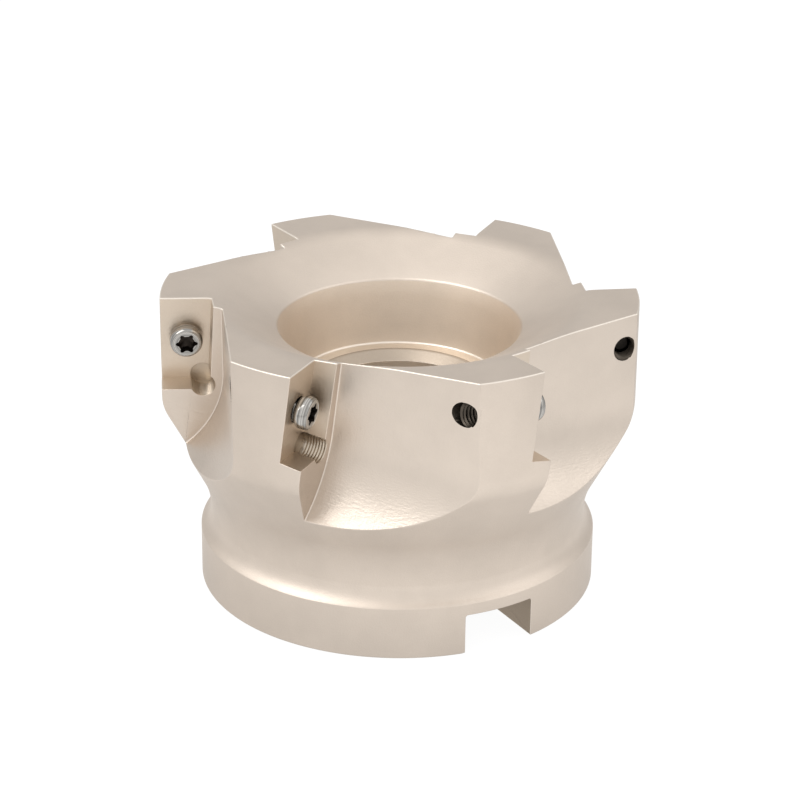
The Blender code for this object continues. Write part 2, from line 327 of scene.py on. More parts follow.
tooth = {
    "firstAngle": 4.6,
    "rake": 7.5,
    "faceOffset": 3.72,
    "gulletWall": 29.17,
    "gulletSkew": 1.6,
    "gulletLean": 0.65,
    "gulletRadius": 17.0,
    "gulletDown": 12.05,
    "gulletRoot": 0.25,
    "gulletReach": 34.0,
    "gulletSteps": 140,
    "gulletRootSteps": 3,
    "pocketWall": 30.83,
    "pocketLean": 2.7,
    "pocketDown": 14.92,
    "pocketSplay": 3.5,
    "pocketReach": 7.0,
    "reliefX": 32.45,
    "reliefDown": 14.4,
    "reliefRadius": 1.95,
    "reliefDepth": 0.4,
    "reliefSteps": 48,
    "reliefRings": 13,
    "reliefPitch": 0.5,
    "reliefGroove": 0.108,
    "screwX": 35.1,
    "screwDown": 7.2,
    "screwLean": 2.4,
    "holeSteps": 40,
    "holeChamfer": 0.3,
    "holeMouth": 1.9,
    "mouthDepth": 0.62,
    "mouthCone": 1.1,
    "holeExit": 2.04,
    "exitCone": 0.6,
    "threadStart": 0.5,
    "threadEnd": 11.0,
    "threadOver": 0.4,
    "holeReach": 17.0,
    "over": 4.0,
}

# M4 thread: one profile serves the tapped holes and, a little smaller, the screws
thread = {
    "pitch": 0.7,
    "halfRoot": 0.08,  # shares of the pitch
    "flank": 0.36,
    "crestFlat": 0.12,
    "steps": 36,
    "bury": 0.2,  # how far a plain core lies inside the thread that is joined round it
    "holeCore": 1.64,
    "holeCrest": 2.0,
    "screwCore": 1.5,
    "screwCrest": 1.92,
}


layDown = Matrix.Rotation(math.radians(-90), 4, "X")  # brings what stands along z to lie along y


def boxTool(name, low, high):
    clearSelection()
    centre = [(a + b) / 2 * mm for a, b in zip(low, high)]
    size = [(b - a) * mm for a, b in zip(low, high)]
    bpy.ops.mesh.primitive_cube_add(size=1, location=centre, scale=size)
    return bakePlace(nameNew(name))


def gulletTool(t):
    # a block with a large round along its inner lower edge and a small one along the tooth's face
    radius = t["gulletRadius"]
    low = (0.0, t["faceOffset"], -t["gulletDown"] - radius)
    high = (radius + 1.0, t["gulletReach"], 9.0)
    obj = boxTool("gulletTool", low, high)

    def innerLower(a, b):
        return max(a.x, b.x) < snap and max(a.z, b.z) < low[2] + snap

    def nearRoot(a, b):
        near = max(a.y, b.y) < t["faceOffset"] + snap
        return near and max(a.x, b.x) < high[0] - snap and min(a.z, b.z) < high[2] - snap

    selectEdges(obj, innerLower)
    bevelSelected(radius, t["gulletSteps"])
    selectEdges(obj, nearRoot)
    bevelSelected(t["gulletRoot"], t["gulletRootSteps"])
    selectPoints(obj, lambda p: p.y > t["gulletReach"] - snap)
    nudge(x=-(t["gulletReach"] - t["faceOffset"]) * math.tan(math.radians(t["gulletSkew"])))
    place = Matrix.Translation((t["gulletWall"] * mm, 0, 0))
    return bakePlace(obj, place @ Matrix.Rotation(math.radians(t["gulletLean"]), 4, "Y"))


def pocketTool(t):
    # a block over the seat, whose side wall leans and splays and whose ledge falls away
    lean = math.tan(math.radians(t["pocketLean"]))
    splay = math.tan(math.radians(t["pocketSplay"]))
    wall, down, reach = t["pocketWall"], t["pocketDown"], t["pocketReach"]
    obj = boxTool("pocketTool", (wall, 0.0, -down), (blank["radius"] + t["over"], reach, t["over"]))
    selectPoints(obj, lambda p: p.x < wall + snap and p.z < 0)
    nudge(x=down * lean)
    selectPoints(obj, lambda p: p.x < wall + snap and p.z > 0)
    nudge(x=-t["over"] * lean)
    selectPoints(obj, lambda p: p.x < wall + 2 and p.y > reach - snap)
    nudge(x=-reach * splay)
    selectPoints(obj, lambda p: p.z < 0 and p.y > reach - snap)
    nudge(z=-reach * splay)
    bpy.ops.object.mode_set(mode="OBJECT")
    return obj


def reliefTool(t):
    # a round cutter along the pocket's inner corner, whose fine rings the drill left
    radius, groove, pitch = t["reliefRadius"], t["reliefGroove"], t["reliefPitch"]
    first = 0.05
    profile = [(radius, -t["reliefDepth"]), (radius, first)]
    for i in range(t["reliefRings"]):
        start = first + pitch * i
        profile += [(radius + groove, start + pitch * 0.45), (radius, start + pitch)]
    profile.append((radius, t["pocketReach"]))
    obj = bakePlace(turnProfile(profile, t["reliefSteps"], "reliefTool", closed=False), layDown)
    return bakePlace(obj, Matrix.Translation((t["reliefX"] * mm, 0, -t["reliefDown"] * mm)))


def threadRod(core, crest, bottom, top, name):
    # a threaded rod along z: one zigzag of the profile wound up by the Screw modifier, then trimmed
    clearSelection()
    pitch = thread["pitch"]
    turns = math.ceil((top - bottom) / pitch) + 3
    start = math.floor(bottom / pitch - 1) * pitch
    bpy.ops.mesh.primitive_plane_add(size=mm, location=(core * mm, 0, start * mm))
    obj = bakePlace(nameNew(name))
    bpy.ops.object.mode_set(mode="EDIT")
    bpy.ops.mesh.select_all(action="SELECT")
    bpy.ops.mesh.merge(type="CENTER")
    halfRoot, flank, flat = thread["halfRoot"], thread["flank"], thread["crestFlat"]
    rise = crest - core
    for out, up in ((0.0, halfRoot), (rise, flank), (0.0, flat), (-rise, flank), (0.0, halfRoot)):
        move = {"value": (out * mm, 0, up * pitch * mm)}
        bpy.ops.mesh.extrude_region_move(TRANSFORM_OT_translate=move)
    bpy.ops.object.mode_set(mode="OBJECT")
    wind = obj.modifiers.new("wind", "SCREW")
    wind.screw_offset = pitch * mm
    wind.iterations = turns
    wind.steps = wind.render_steps = thread["steps"]
    wind.use_merge_vertices = True
    wind.merge_threshold = 0.001 * mm
    bpy.ops.object.modifier_apply(modifier=wind.name)
    bpy.ops.object.mode_set(mode="EDIT")
    bpy.ops.mesh.select_all(action="SELECT")
    bpy.ops.mesh.remove_doubles(threshold=0.002 * mm)
    bpy.ops.mesh.select_mode(type="EDGE")
    bpy.ops.mesh.select_all(action="DESELECT")
    bpy.ops.mesh.select_non_manifold()
    bpy.ops.mesh.fill()
    bpy.ops.mesh.select_all(action="SELECT")
    bpy.ops.mesh.normals_make_consistent(inside=False)
    bpy.ops.object.mode_set(mode="OBJECT")
    trim = boxTool("trim", (-crest - 1, -crest - 1, bottom), (crest + 1, crest + 1, top))
    return carve(obj, trim, "INTERSECT")


def holePlace(t):
    # the screw's place and lean in the seat's frame
    place = Matrix.Translation((t["screwX"] * mm, 0, -t["screwDown"] * mm))
    return place @ Matrix.Rotation(math.radians(t["screwLean"]), 4, "Z")


def holeTool(t):
    # a turned cutter for the way out, the core and the mouth, with the thread joined round its core
    mouth, chamfer, end = t["holeMouth"], t["holeChamfer"], t["threadEnd"]
    inside = thread["holeCore"] - thread["bury"]
    profile = [
        (t["holeExit"], -t["holeReach"]),
        (t["holeExit"], -end),
        (inside, -end + t["exitCone"]),
        (inside, -t["mouthCone"]),
        (mouth, -t["mouthDepth"]),
        (mouth, -chamfer),
        (mouth + chamfer, 0.0),
        (mouth + chamfer, t["over"]),
    ]
    obj = turnProfile(profile, t["holeSteps"], "holeTool", closed=False)
    low, high = -end - t["threadOver"], -t["threadStart"]
    carve(obj, threadRod(thread["holeCore"], thread["holeCrest"], low, high, "threadCut"), "UNION")
    return bakePlace(bakePlace(obj, layDown), holePlace(t))


def seatMatrix(number, t):
    # where the frame of one tooth's seat stands on the body
    turn = Matrix.Rotation(math.radians(t["firstAngle"] + 360 * number / toothCount - 90), 4, "Z")
    tilt = Matrix.Rotation(math.radians(-t["rake"]), 4, "X")
    return Matrix.Translation((0, 0, bodyHeight * mm)) @ turn @ tilt


def surfaceOf(obj):
    points = [vert.co.copy() for vert in obj.data.vertices]
    return BVHTree.FromPolygons(points, [tuple(face.vertices) for face in obj.data.polygons])


toothTool = gulletTool(tooth)
cutSurfaces = {"gullet": surfaceOf(toothTool)}  # in the seat's frame, to tell the cut faces apart
for zone, makeTool in (("pocket", pocketTool), ("relief", reliefTool), ("hole", holeTool)):
    tool = makeTool(tooth)
    cutSurfaces[zone] = surfaceOf(tool)
    carve(toothTool, tool, "UNION")
print("tooth tool made,", len(toothTool.data.polygons), "faces")

for group in (0, 1):  # every second tooth at once, so that the tools of one cut stay clear of each other
    tools = [copyOf(toothTool, "toothCut", seatMatrix(n, tooth)) for n in range(group, toothCount, 2)]
    carve(body, joinAll(tools, "toothCuts"))
bpy.data.objects.remove(toothTool, do_unlink=True)
print("teeth cut,", len(body.data.polygons), "faces")


# The two drive slots, opened by one bar across the mounting face

slots = {"width": 12.4, "depth": 7.0, "corner": 0.45, "cornerSteps": 8, "chamfer": 0.3, "over": 4.0}


def slotTool(d):
    # a bar under the foot, drawn in over the mouth's chamfer and up to the slot's depth
    wide = d["width"] + 2 * d["chamfer"]
    reach = blank["flangeRadius"] + d["over"]
    clearSelection()
    bpy.ops.mesh.primitive_plane_add(size=1, location=(0, 0, -d["over"] * mm))
    obj = nameNew("slotTool")
    obj.scale = (wide * mm, 2 * reach * mm, 1)
    bakePlace(obj)
    bpy.ops.object.mode_set(mode="EDIT")
    bpy.ops.mesh.select_all(action="SELECT")
    slope = (d["chamfer"], d["width"] / wide)
    for rise, narrow in ((d["over"], 1), slope, (d["depth"] - d["chamfer"], 1)):
        bpy.ops.mesh.extrude_region_move(TRANSFORM_OT_translate={"value": (0, 0, rise * mm)})
        bpy.ops.transform.resize(value=(narrow, 1, 1), center_override=(0, 0, 0))
    bpy.ops.object.mode_set(mode="OBJECT")
    recalcNormals(obj)
    selectEdges(obj, lambda a, b: min(a.z, b.z) > d["depth"] - snap and abs(a.x - b.x) < snap)
    bevelSelected(d["corner"], d["cornerSteps"])
    bpy.ops.object.mode_set(mode="OBJECT")
    return obj


carve(body, slotTool(slots))
print("slots cut,", len(body.data.polygons), "faces")


# Broken edges: every sharp outer edge of the cut body is rounded, the front ring's a little more

edges = {
    "width": 0.12,
    "frontWidth": 0.2,
    "frontDepth": 2.0,
    "frontFacing": 0.85,
    "highlightDepth": 1.6,
    "steps": 3,
    "angle": 32,
}


def outerEdges(obj, angle):
    # the edges where two faces meet outwards at more than the angle, and how far the upper of
    # the two faces up
    mesh = obj.data
    faces = {}
    for face in mesh.polygons:
        for key in face.edge_keys:
            faces.setdefault(key, []).append(face.index)
    limit = math.cos(math.radians(angle))
    found = {}
    for key, pair in faces.items():
        if len(pair) != 2:
            continue
        a, b = mesh.polygons[pair[0]], mesh.polygons[pair[1]]
        if a.normal.dot(b.normal) < limit and (b.center - a.center).dot(a.normal) < 0:
            found[key] = max(a.normal.z, b.normal.z)
    return found


def breakEdges(obj, e, skip):
    found = outerEdges(obj, e["angle"])
    mesh = obj.data
    weights = mesh.attributes.new("bevel_weight_edge", "FLOAT", "EDGE")
    for edge in mesh.edges:
        key = tuple(sorted(edge.vertices))
        if key not in found:
            continue
        middle = (mesh.vertices[key[0]].co + mesh.vertices[key[1]].co) / (2 * mm)
        if skip(middle):
            continue
        front = middle.z > bodyHeight - e["frontDepth"] and found[key] > e["frontFacing"]
        weights.data[edge.index].value = 1.0 if front else e["width"] / e["frontWidth"]
    makeActive(obj)
    rounding = obj.modifiers.new("rounding", "BEVEL")
    rounding.width = e["frontWidth"] * mm
    rounding.segments = e["steps"]
    rounding.limit_method = "WEIGHT"
    rounding.use_clamp_overlap = False
    rounding.loop_slide = False
    rounding.miter_outer = "MITER_SHARP"
    # the rounded faces take the edge zone, whose lighter tint is a painted highlight
    rounding.material = zones.index("edge")
    bpy.ops.object.modifier_apply(modifier=rounding.name)


seatPlaces = [seatMatrix(n, tooth) for n in range(toothCount)]
holeAxes = []
for seat in seatPlaces:
    place = seat @ holePlace(tooth)
    holeAxes.append((place.translation / mm, (place.to_3x3() @ Vector((0, 1, 0))).normalized()))


crisp = {"pastThread": 0.3, "overSeat": 1.0, "aroundHole": 2.4, "relief": 0.3, "rings": 0.2}


def inDrilling(point):
    # inside a tapped hole or along the rings of a relief hole, where the edges stay crisp
    low = -tooth["threadEnd"] - crisp["pastThread"]
    for centre, axis in holeAxes:
        offset = point - centre
        along = offset.dot(axis)
        away = (offset - axis * along).length
        if low < along < crisp["overSeat"] and away < crisp["aroundHole"]:
            return True
    for seat in seatPlaces:
        local = seat.inverted() @ (point * mm) / mm
        out = math.hypot(local.x - tooth["reliefX"], local.z + tooth["reliefDown"])
        beside = crisp["relief"] < local.y < tooth["pocketReach"]
        if beside and out < tooth["reliefRadius"] + crisp["rings"]:
            return True
    return False


zones = ["turned", "bored", "seat", "bore", "slot", "gullet", "pocket", "relief", "hole", "edge"]
makeActive(body)
bpy.ops.object.mode_set(mode="EDIT")
bpy.ops.mesh.select_all(action="SELECT")
bpy.ops.mesh.remove_doubles(threshold=0.01 * mm)  # slivers of the cuts would fold the bevels
bpy.ops.mesh.dissolve_degenerate(threshold=0.005 * mm)
bpy.ops.object.mode_set(mode="OBJECT")
for zone in zones:  # the materials come first, so that the rounded faces can be given theirs
    body.data.materials.append(bpy.data.materials.new(zone))
for face in body.data.polygons:
    face.material_index = 0
breakEdges(body, edges, inDrilling)
print("edges broken,", len(body.data.polygons), "faces")


def turnedZone(point, normal):
    # which of the turned or slotted surfaces a point in millimetres lies on
    slack, straight = 0.05, 0.95
    out = math.hypot(point.x, point.y)
    side = abs(point.x) - slots["width"] / 2
    turn = abs(normal.x)
    inSlot = point.z < slots["depth"] + slack and side < slots["chamfer"] + 0.02
    if inSlot and out > blank["boreRadius"] + slack:
        slanted = side > -slack and 0.3 < turn < straight and abs(normal.z) < straight
        corner = out > blank["flangeRadius"] - 0.2 and abs(side) < 0.15 and 0.1 < turn < 0.97
        # the slot's chamfers and corners take the edge zone, whose lighter tint is a painted highlight
        if slanted or corner:
            return "edge"
        # the slot's walls and roof, whose tint is painted darker as shade under the foot
        if turn > straight or normal.z < -straight:
            return "slot"
    if out > blank["counterboreRadius"] + 0.1:
        return "turned"
    # the counterbore's wall, whose tint is painted lighter as light falling into it
    if point.z > blank["seatHeight"] + blank["seatFillet"]:
        return "bored"
    # the bore's top chamfer and lip, painted darker as shade down the bore; the bolt seat and the rest,
    # painted lighter as light reaching the floor
    lip = blank["boreRadius"] + blank["boreTopChamfer"] + blank["seatEdge"]
    return "bore" if blank["boreRadius"] + slack < out < lip else "seat"


def markZones(obj, e):
    # gives each cut face the zone of the tool whose surface it lies on; of the rounded edges,
    # only those of the front keep their own zone, whose lighter tint is a painted highlight
    toSeat = [seat.inverted() for seat in seatPlaces]
    for face in obj.data.polygons:
        front = face.center.z > (bodyHeight - e["highlightDepth"]) * mm
        if face.material_index == zones.index("edge") and front:
            continue
        face.material_index = zones.index(turnedZone(face.center / mm, face.normal))
        nearest = 0.012 * mm
        for inverse in toSeat:
            local = inverse @ face.center
            if local.x < 0:
                continue
            for zone, surface in cutSurfaces.items():
                hit = surface.find_nearest(local, nearest)
                if hit[0] is not None and hit[3] < nearest:
                    nearest = hit[3]
                    face.material_index = zones.index(zone)


markZones(body, edges)
counts = [sum(1 for f in body.data.polygons if f.material_index == i) for i in range(len(zones))]
print("zones marked,", dict(zip(zones, counts)))


def smoothPiece(obj, angle):
    # smooth shading that breaks at the angle, with the normals weighted by face area
    makeActive(obj)
    bpy.ops.object.shade_smooth_by_angle(angle=math.radians(angle))
    weigh = obj.modifiers.new("weigh", "WEIGHTED_NORMAL")
    weigh.keep_sharp = True
    weigh.weight = 80
    bpy.ops.object.modifier_apply(modifier=weigh.name)


def alongGullet(local, t):
    # where a point of the seat's frame lies on the milled surface: how far down it and how far
    # along, with the direction that the surface faces there
    lean = Matrix.Rotation(math.radians(-t["gulletLean"]), 3, "Y")
    skew = math.tan(math.radians(t["gulletSkew"]))
    p = lean @ (local / mm - Vector((t["gulletWall"], 0, 0)))
    x = p.x + (p.y - t["faceOffset"]) * skew
    depth, radius = -p.z, t["gulletRadius"]
    facing = Vector((1, 0, 0))
    if depth > t["gulletDown"]:
        facing = Vector((max(radius - x, 0.01), 0, depth - t["gulletDown"])).normalized()
        depth = t["gulletDown"] + radius * math.atan2(facing.z, facing.x)
    facing.y = facing.x * skew
    return Vector((depth, p.y, 0)) * mm, (lean.transposed() @ facing).normalized()


def unrollGullets(obj, t):
    # stores on every corner of the milled faces where it lies in its gullet, in metres, and
    # turns its normal to that of the true surface
    mesh = obj.data
    near, alike = 0.02 * mm, 0.99
    layer = mesh.attributes.new("milling", "FLOAT_VECTOR", "CORNER")
    normals = [corner.vector.copy() for corner in mesh.corner_normals]
    toSeat = [(seat, seat.inverted()) for seat in seatPlaces]
    for face in mesh.polygons:
        if face.material_index != zones.index("gullet"):
            continue
        best = None
        for seat, inverse in toSeat:
            local = inverse @ face.center
            hit = cutSurfaces["gullet"].find_nearest(local, near)
            if local.x > 0 and hit[0] is not None and (best is None or hit[3] < best[0]):
                best = (hit[3], seat, inverse)
        if best is None:
            continue
        _, seat, inverse = best
        for corner in face.loop_indices:
            local = inverse @ mesh.vertices[mesh.loops[corner].vertex_index].co
            unrolled, facing = alongGullet(local, t)
            layer.data[corner].vector = unrolled
            facing = seat.to_3x3() @ facing
            if facing.dot(face.normal) > alike:
                normals[corner] = facing
    mesh.normals_split_custom_set(normals)


smoothPiece(body, 40)
unrollGullets(body, tooth)
body.name = "body"


# The insert screw, along y in its own frame with y = 0 in the seat's plane

screw = {
    "steps": 68,
    "neck": 1.88,
    "headRadius": 2.72,
    "drumLow": 0.85,
    "drumHigh": 1.45,
    "drumRound": 0.14,
    "crownSteps": 8,
    "top": 2.62,
    "ringRadius": 2.12,
    "ringGroove": 0.07,
    "shankEnd": 7.6,
    "tipChamfer": 0.5,
    "socketPoints": 3.62,
    "socketFlats": 2.62,
    "lobe": 0.285,
    "socketDepth": 1.6,
    "socketMouth": 1.38,
    "socketTaper": 0.32,
    "socketFoot": 0.35,
    "over": 0.4,
}


def socketOutline(s):
    # six round lobes joined by six hollow flutes, each arc touching the next
    lobe = s["lobe"]
    lobeCentre = s["socketPoints"] / 2 - lobe
    root = s["socketFlats"] / 2
    cos30 = math.cos(math.radians(30))
    top = root**2 + lobeCentre**2 - 2 * root * lobeCentre * cos30 - lobe**2
    flute = top / (2 * lobe + 2 * lobeCentre * cos30 - 2 * root)
    fluteCentre = root + flute
    touch = math.degrees(math.atan2(fluteCentre * 0.5, fluteCentre * cos30 - lobeCentre))
    swing = touch - 30
    points = []
    for k in range(6):
        turn = 60 * k
        ahead = math.radians(turn)
        x, y = lobeCentre * math.cos(ahead), lobeCentre * math.sin(ahead)
        points += arcPoints(x, y, lobe, turn - touch, turn + touch, 6)
        ahead = math.radians(turn + 30)
        x, y = fluteCentre * math.cos(ahead), fluteCentre * math.sin(ahead)
        points += arcPoints(x, y, flute, turn + 210 + swing, turn + 210 - swing, 9)[1:-1]
    return points


def socketTool(s):
    # a disc whose points are drawn out to the six lobes, extruded down and tapered at its foot
    outline = socketOutline(s)
    start = (0, 0, (s["top"] + s["over"]) * mm)
    clearSelection()
    bpy.ops.mesh.primitive_circle_add(
        vertices=len(outline), radius=mm, fill_type="NGON", location=start
    )
    obj = bakePlace(nameNew("socketTool"))
    order = sorted(obj.data.vertices, key=lambda v: math.atan2(v.co.y, v.co.x) % math.tau)
    shape = sorted(outline, key=lambda p: math.atan2(p[1], p[0]) % math.tau)
    for vert, point in zip(order, shape):
        vert.co.x, vert.co.y = point[0] * mm, point[1] * mm
    bpy.ops.object.mode_set(mode="EDIT")
    bpy.ops.mesh.select_all(action="SELECT")
    for down in (s["socketDepth"] + s["over"], s["socketTaper"]):
        bpy.ops.mesh.extrude_region_move(TRANSFORM_OT_translate={"value": (0, 0, -down * mm)})
    bpy.ops.transform.resize(value=(s["socketFoot"], s["socketFoot"], 1), center_override=(0, 0, 0))
    bpy.ops.object.mode_set(mode="OBJECT")
    recalcNormals(obj)
    return obj


def screwProfile(s):
    # shank core, countersunk skirt, a low drum, the crown, a fine groove and the flat ring
    inside = thread["screwCore"] - thread["bury"]
    radius, low, high, soft = s["headRadius"], s["drumLow"], s["drumHigh"], s["drumRound"]
    ring, groove, top = s["ringRadius"], s["ringGroove"], s["top"]
    points = [(inside, -s["shankEnd"] + 0.6), (inside, -0.6), (s["neck"] - 0.25, -0.2)]
    points += [(s["neck"], 0.0), (radius - soft, low - 0.16), (radius - 0.03, low)]
    points += [(radius, low + soft), (radius, high)]
    run = radius - ring - groove
    climb = top - high
    crown = arcPoints(0, 0, 1, 0, 90, s["crownSteps"])[1:]
    points += [(radius - run + run * x, high + climb * y) for x, y in crown]
    points += [(ring + groove * 0.5, top - groove), (ring, top - 0.01), (ring - 0.12, top)]
    return points


def makeScrew(s):
    core, crest, end = thread["screwCore"], thread["screwCrest"], s["shankEnd"]
    head = turnProfile(screwProfile(s), s["steps"], "insertScrew", closed=False)
    shaft = threadRod(core, crest, -end - 0.1, 0.15, "shaft")
    tipProfile = [
        (core - s["tipChamfer"] * 0.7, -end),
        (crest + 0.05, -end + s["tipChamfer"] * 1.4),
        (crest + 0.05, 1.0),
    ]
    carve(shaft, turnProfile(tipProfile, 48, "tipTrim", closed=False), "INTERSECT")
    carve(head, shaft, "UNION")
    carve(head, socketTool(s))
    mouth = s["socketMouth"]
    mouthProfile = [(mouth - 0.6, s["top"] - 0.6), (mouth, s["top"]), (mouth + 0.2, s["top"] + 0.2)]
    carve(head, turnProfile(mouthProfile, s["steps"], "mouthTool", closed=False))
    recalcNormals(head, merge=0.0002)
    return bakePlace(head, layDown)


def markScrew(obj, s):
    # the plated head, the inside of the socket below its mouth painted near-black as shade,
    # and the shank painted near-black as shade in the tapped hole
    for look in ("plated", "socket", "shank"):
        obj.data.materials.append(bpy.data.materials.new(look))
    socketReach = s["socketPoints"] / 2 + 0.03
    for face in obj.data.polygons:
        out = math.hypot(face.center.x, face.center.z) / mm
        height = face.center.y / mm
        wallOrFloor = abs(face.normal.y) < 0.5 or height < s["top"] - 0.5
        if height < -0.3:
            face.material_index = 2
        elif height > 0.3 and out < socketReach and wallOrFloor:
            face.material_index = 1
        else:
            face.material_index = 0


def noteSheenBandPlace(obj):
    # stores how far out and how high every point is, for the painted sheen bands on the head
    lathe = obj.data.attributes.new("lathe", "FLOAT_VECTOR", "POINT")
    for vert in obj.data.vertices:
        lathe.data[vert.index].vector = (math.hypot(vert.co.x, vert.co.z), vert.co.y, 0)


masterScrew = makeScrew(screw)
markScrew(masterScrew, screw)
smoothPiece(masterScrew, 33)
noteSheenBandPlace(masterScrew)
screws = []
for n in range(toothCount):
    screws.append(copyOf(masterScrew, f"insertScrew{n + 1}", seatMatrix(n, tooth) @ holePlace(tooth)))
bpy.data.objects.remove(masterScrew, do_unlink=True)
print("screws made,", len(screws[0].data.polygons), "faces each")


# Finishes, with painted shade in the holes, slot, bore, socket and shank, painted light in the
# counterbore, and painted highlights on the edges and screw heads

def addNode(tree, kind, **settings):
    node = tree.nodes.new(kind)
    for key, value in settings.items():
        setattr(node, key, value)
    return node


def setInputs(node, **values):
    for key, value in values.items():
        node.inputs[key.replace("_", " ")].default_value = value
    return node


def wire(tree, value, socket):
    if isinstance(value, (int, float)):
        socket.default_value = value
    else:
        tree.links.new(value, socket)


def mathNode(tree, operation, a, b=0.0):
    node = addNode(tree, "ShaderNodeMath", operation=operation)
    wire(tree, a, node.inputs[0])
    wire(tree, b, node.inputs[1])
    return node.outputs[0]


def times(tree, a, b):
    return mathNode(tree, "MULTIPLY", a, b)


def square(tree, a):
    return mathNode(tree, "POWER", a, 2)


def rangeNode(tree, value, low, high, toLow, toHigh):
    node = addNode(tree, "ShaderNodeMapRange")
    setInputs(node, From_Min=low, From_Max=high, To_Min=toLow, To_Max=toHigh)
    wire(tree, value, node.inputs["Value"])
    return node.outputs["Result"]


def noiseNode(tree, place, scale, detail=2.0, roughness=0.5):
    node = addNode(tree, "ShaderNodeTexNoise")
    setInputs(node, Scale=scale, Detail=detail, Roughness=roughness)
    tree.links.new(place, node.inputs["Vector"])
    return node.outputs["Fac"]


def combine(tree, x, y, z):
    node = addNode(tree, "ShaderNodeCombineXYZ")
    for value, socket in zip((x, y, z), node.inputs):
        wire(tree, value, socket)
    return node.outputs[0]


def split(tree, vector):
    node = addNode(tree, "ShaderNodeSeparateXYZ")
    tree.links.new(vector, node.inputs[0])
    return node.outputs


def storedPlace(tree, name):
    return addNode(tree, "ShaderNodeAttribute", attribute_name=name).outputs["Vector"]


turning = {"scale": 5200, "along": 0.0015, "depth": 0.006}


def turningMarks(tree, place):
    # fine rings left by the turning tool: noise drawn out round the axis
    x, y, z = split(tree, place)
    outward = mathNode(tree, "SQRT", mathNode(tree, "ADD", square(tree, x), square(tree, y)))
    spun = times(tree, mathNode(tree, "ARCTAN2", y, x), turning["along"])
    rings = noiseNode(tree, combine(tree, outward, spun, z), turning["scale"], 3)
    return times(tree, rings, turning["depth"])


milling = {
    "bowCentre": 0.012,
    "bow": 7.0,
    "cuspScale": 2600,
    "cuspAlong": 0.33,
    "cuspDepth": 0.05,
    "deepest": 0.0235,
    "reach": 0.0085,
    "elsewhere": 0.1,
    "brushScale": 2400,
    "brushDown": 0.12,
    "brushDepth": 0.012,
}


def millingMarks(tree, place):
    # short cusps along the gullet in bowed rows, deepest where its wall turns into its floor,
    # over a fine brushing down it; place isn't used, because the gullets have their own
    m = milling
    down, along, _ = split(tree, storedPlace(tree, "milling"))
    bow = times(tree, square(tree, mathNode(tree, "SUBTRACT", along, m["bowCentre"])), m["bow"])
    row = mathNode(tree, "ADD", down, bow)
    cuspPlace = combine(tree, row, times(tree, along, m["cuspAlong"]), 0.0)
    dashes = noiseNode(tree, cuspPlace, m["cuspScale"], 1.5)
    off = mathNode(tree, "ABSOLUTE", mathNode(tree, "SUBTRACT", down, m["deepest"]))
    near = rangeNode(tree, off, 0.0, m["reach"], 1.0, m["elsewhere"])
    cusps = times(tree, times(tree, dashes, near), m["cuspDepth"])
    brushPlace = combine(tree, times(tree, down, m["brushDown"]), along, 0.0)
    brushed = noiseNode(tree, brushPlace, m["brushScale"], 1.5)
    return mathNode(tree, "ADD", cusps, times(tree, brushed, m["brushDepth"]))


grinding = {"scale": 4200, "along": 0.12, "depth": 0.008}


def grindingMarks(tree, place):
    # fine upright scratches
    x, y, z = split(tree, place)
    upright = combine(tree, x, y, times(tree, z, grinding["along"]))
    return times(tree, noiseNode(tree, upright, grinding["scale"], 2), grinding["depth"])


def cloudTint(tree, place, m):
    # soft patches in the plating
    return rangeNode(tree, noiseNode(tree, place, m["cloudScale"], 3, 0.6), 0.35, 0.62, 0, 1)


def sheenBandTint(tree, place, m):
    # painted sheen bands: light and dark rings round a screw head that paint its reflections, by the
    # place stored on it
    rings = noiseNode(tree, storedPlace(tree, "lathe"), m["ringScale"], 1)
    return rangeNode(tree, rings, 0.38, 0.62, 0, 1)


def metalFinish(material, m, marks=None):
    # a metal whose tint varies (in soft patches; on the screw heads in painted sheen bands) and whose
    # roughness and grain vary, with the marks of its machining in the bump
    material.use_nodes = True
    tree = material.node_tree
    shader = tree.nodes["Principled BSDF"]
    shader.inputs["Metallic"].default_value = 1.0
    place = addNode(tree, "ShaderNodeTexCoord").outputs["Object"]
    tint = addNode(tree, "ShaderNodeMix", data_type="RGBA")
    tint.inputs[6].default_value = (*[c * m["patchAndSheenLow"] for c in m["color"]], 1)
    tint.inputs[7].default_value = (*m["color"], 1)
    patches = sheenBandTint if "ringScale" in m else cloudTint
    tree.links.new(patches(tree, place, m), tint.inputs[0])
    tree.links.new(tint.outputs[2], shader.inputs["Base Color"])
    grain = noiseNode(tree, place, m["grainScale"], 2)
    low, high = m["roughness"] - m["spread"], m["roughness"] + m["spread"]
    tree.links.new(rangeNode(tree, grain, 0.3, 0.7, low, high), shader.inputs["Roughness"])
    height = times(tree, grain, m["grainDepth"])
    if marks:
        height = mathNode(tree, "ADD", height, marks(tree, place))
    bump = setInputs(addNode(tree, "ShaderNodeBump"), Strength=1.0, Distance=mm)
    tree.links.new(height, bump.inputs["Height"])
    tree.links.new(bump.outputs["Normal"], shader.inputs["Normal"])


nickel = {
    "color": (0.665, 0.582, 0.503),
    "patchAndSheenLow": 0.94,
    "cloudScale": 90.0,
    "roughness": 0.38,
    "spread": 0.05,
    "grainScale": 4200.0,
    "grainDepth": 0.022,
}
turnedNickel = dict(nickel, roughness=0.46)
# painted light: the counterbore wall is a lighter copy of the nickel, standing in for light falling into
# the counterbore
counterboreLitNickel = dict(nickel, color=(0.705, 0.61, 0.51), roughness=0.55)
# painted light: the bolt seat is a lighter copy of the nickel, standing in for light reaching the
# counterbore's floor
seatLitNickel = dict(nickel, color=(0.76, 0.68, 0.59), roughness=0.42)
# painted shade: the slot walls and roof are a darker copy of the nickel, for the shade under the foot
slotShadeNickel = dict(nickel, color=(0.36, 0.29, 0.22), roughness=0.42)
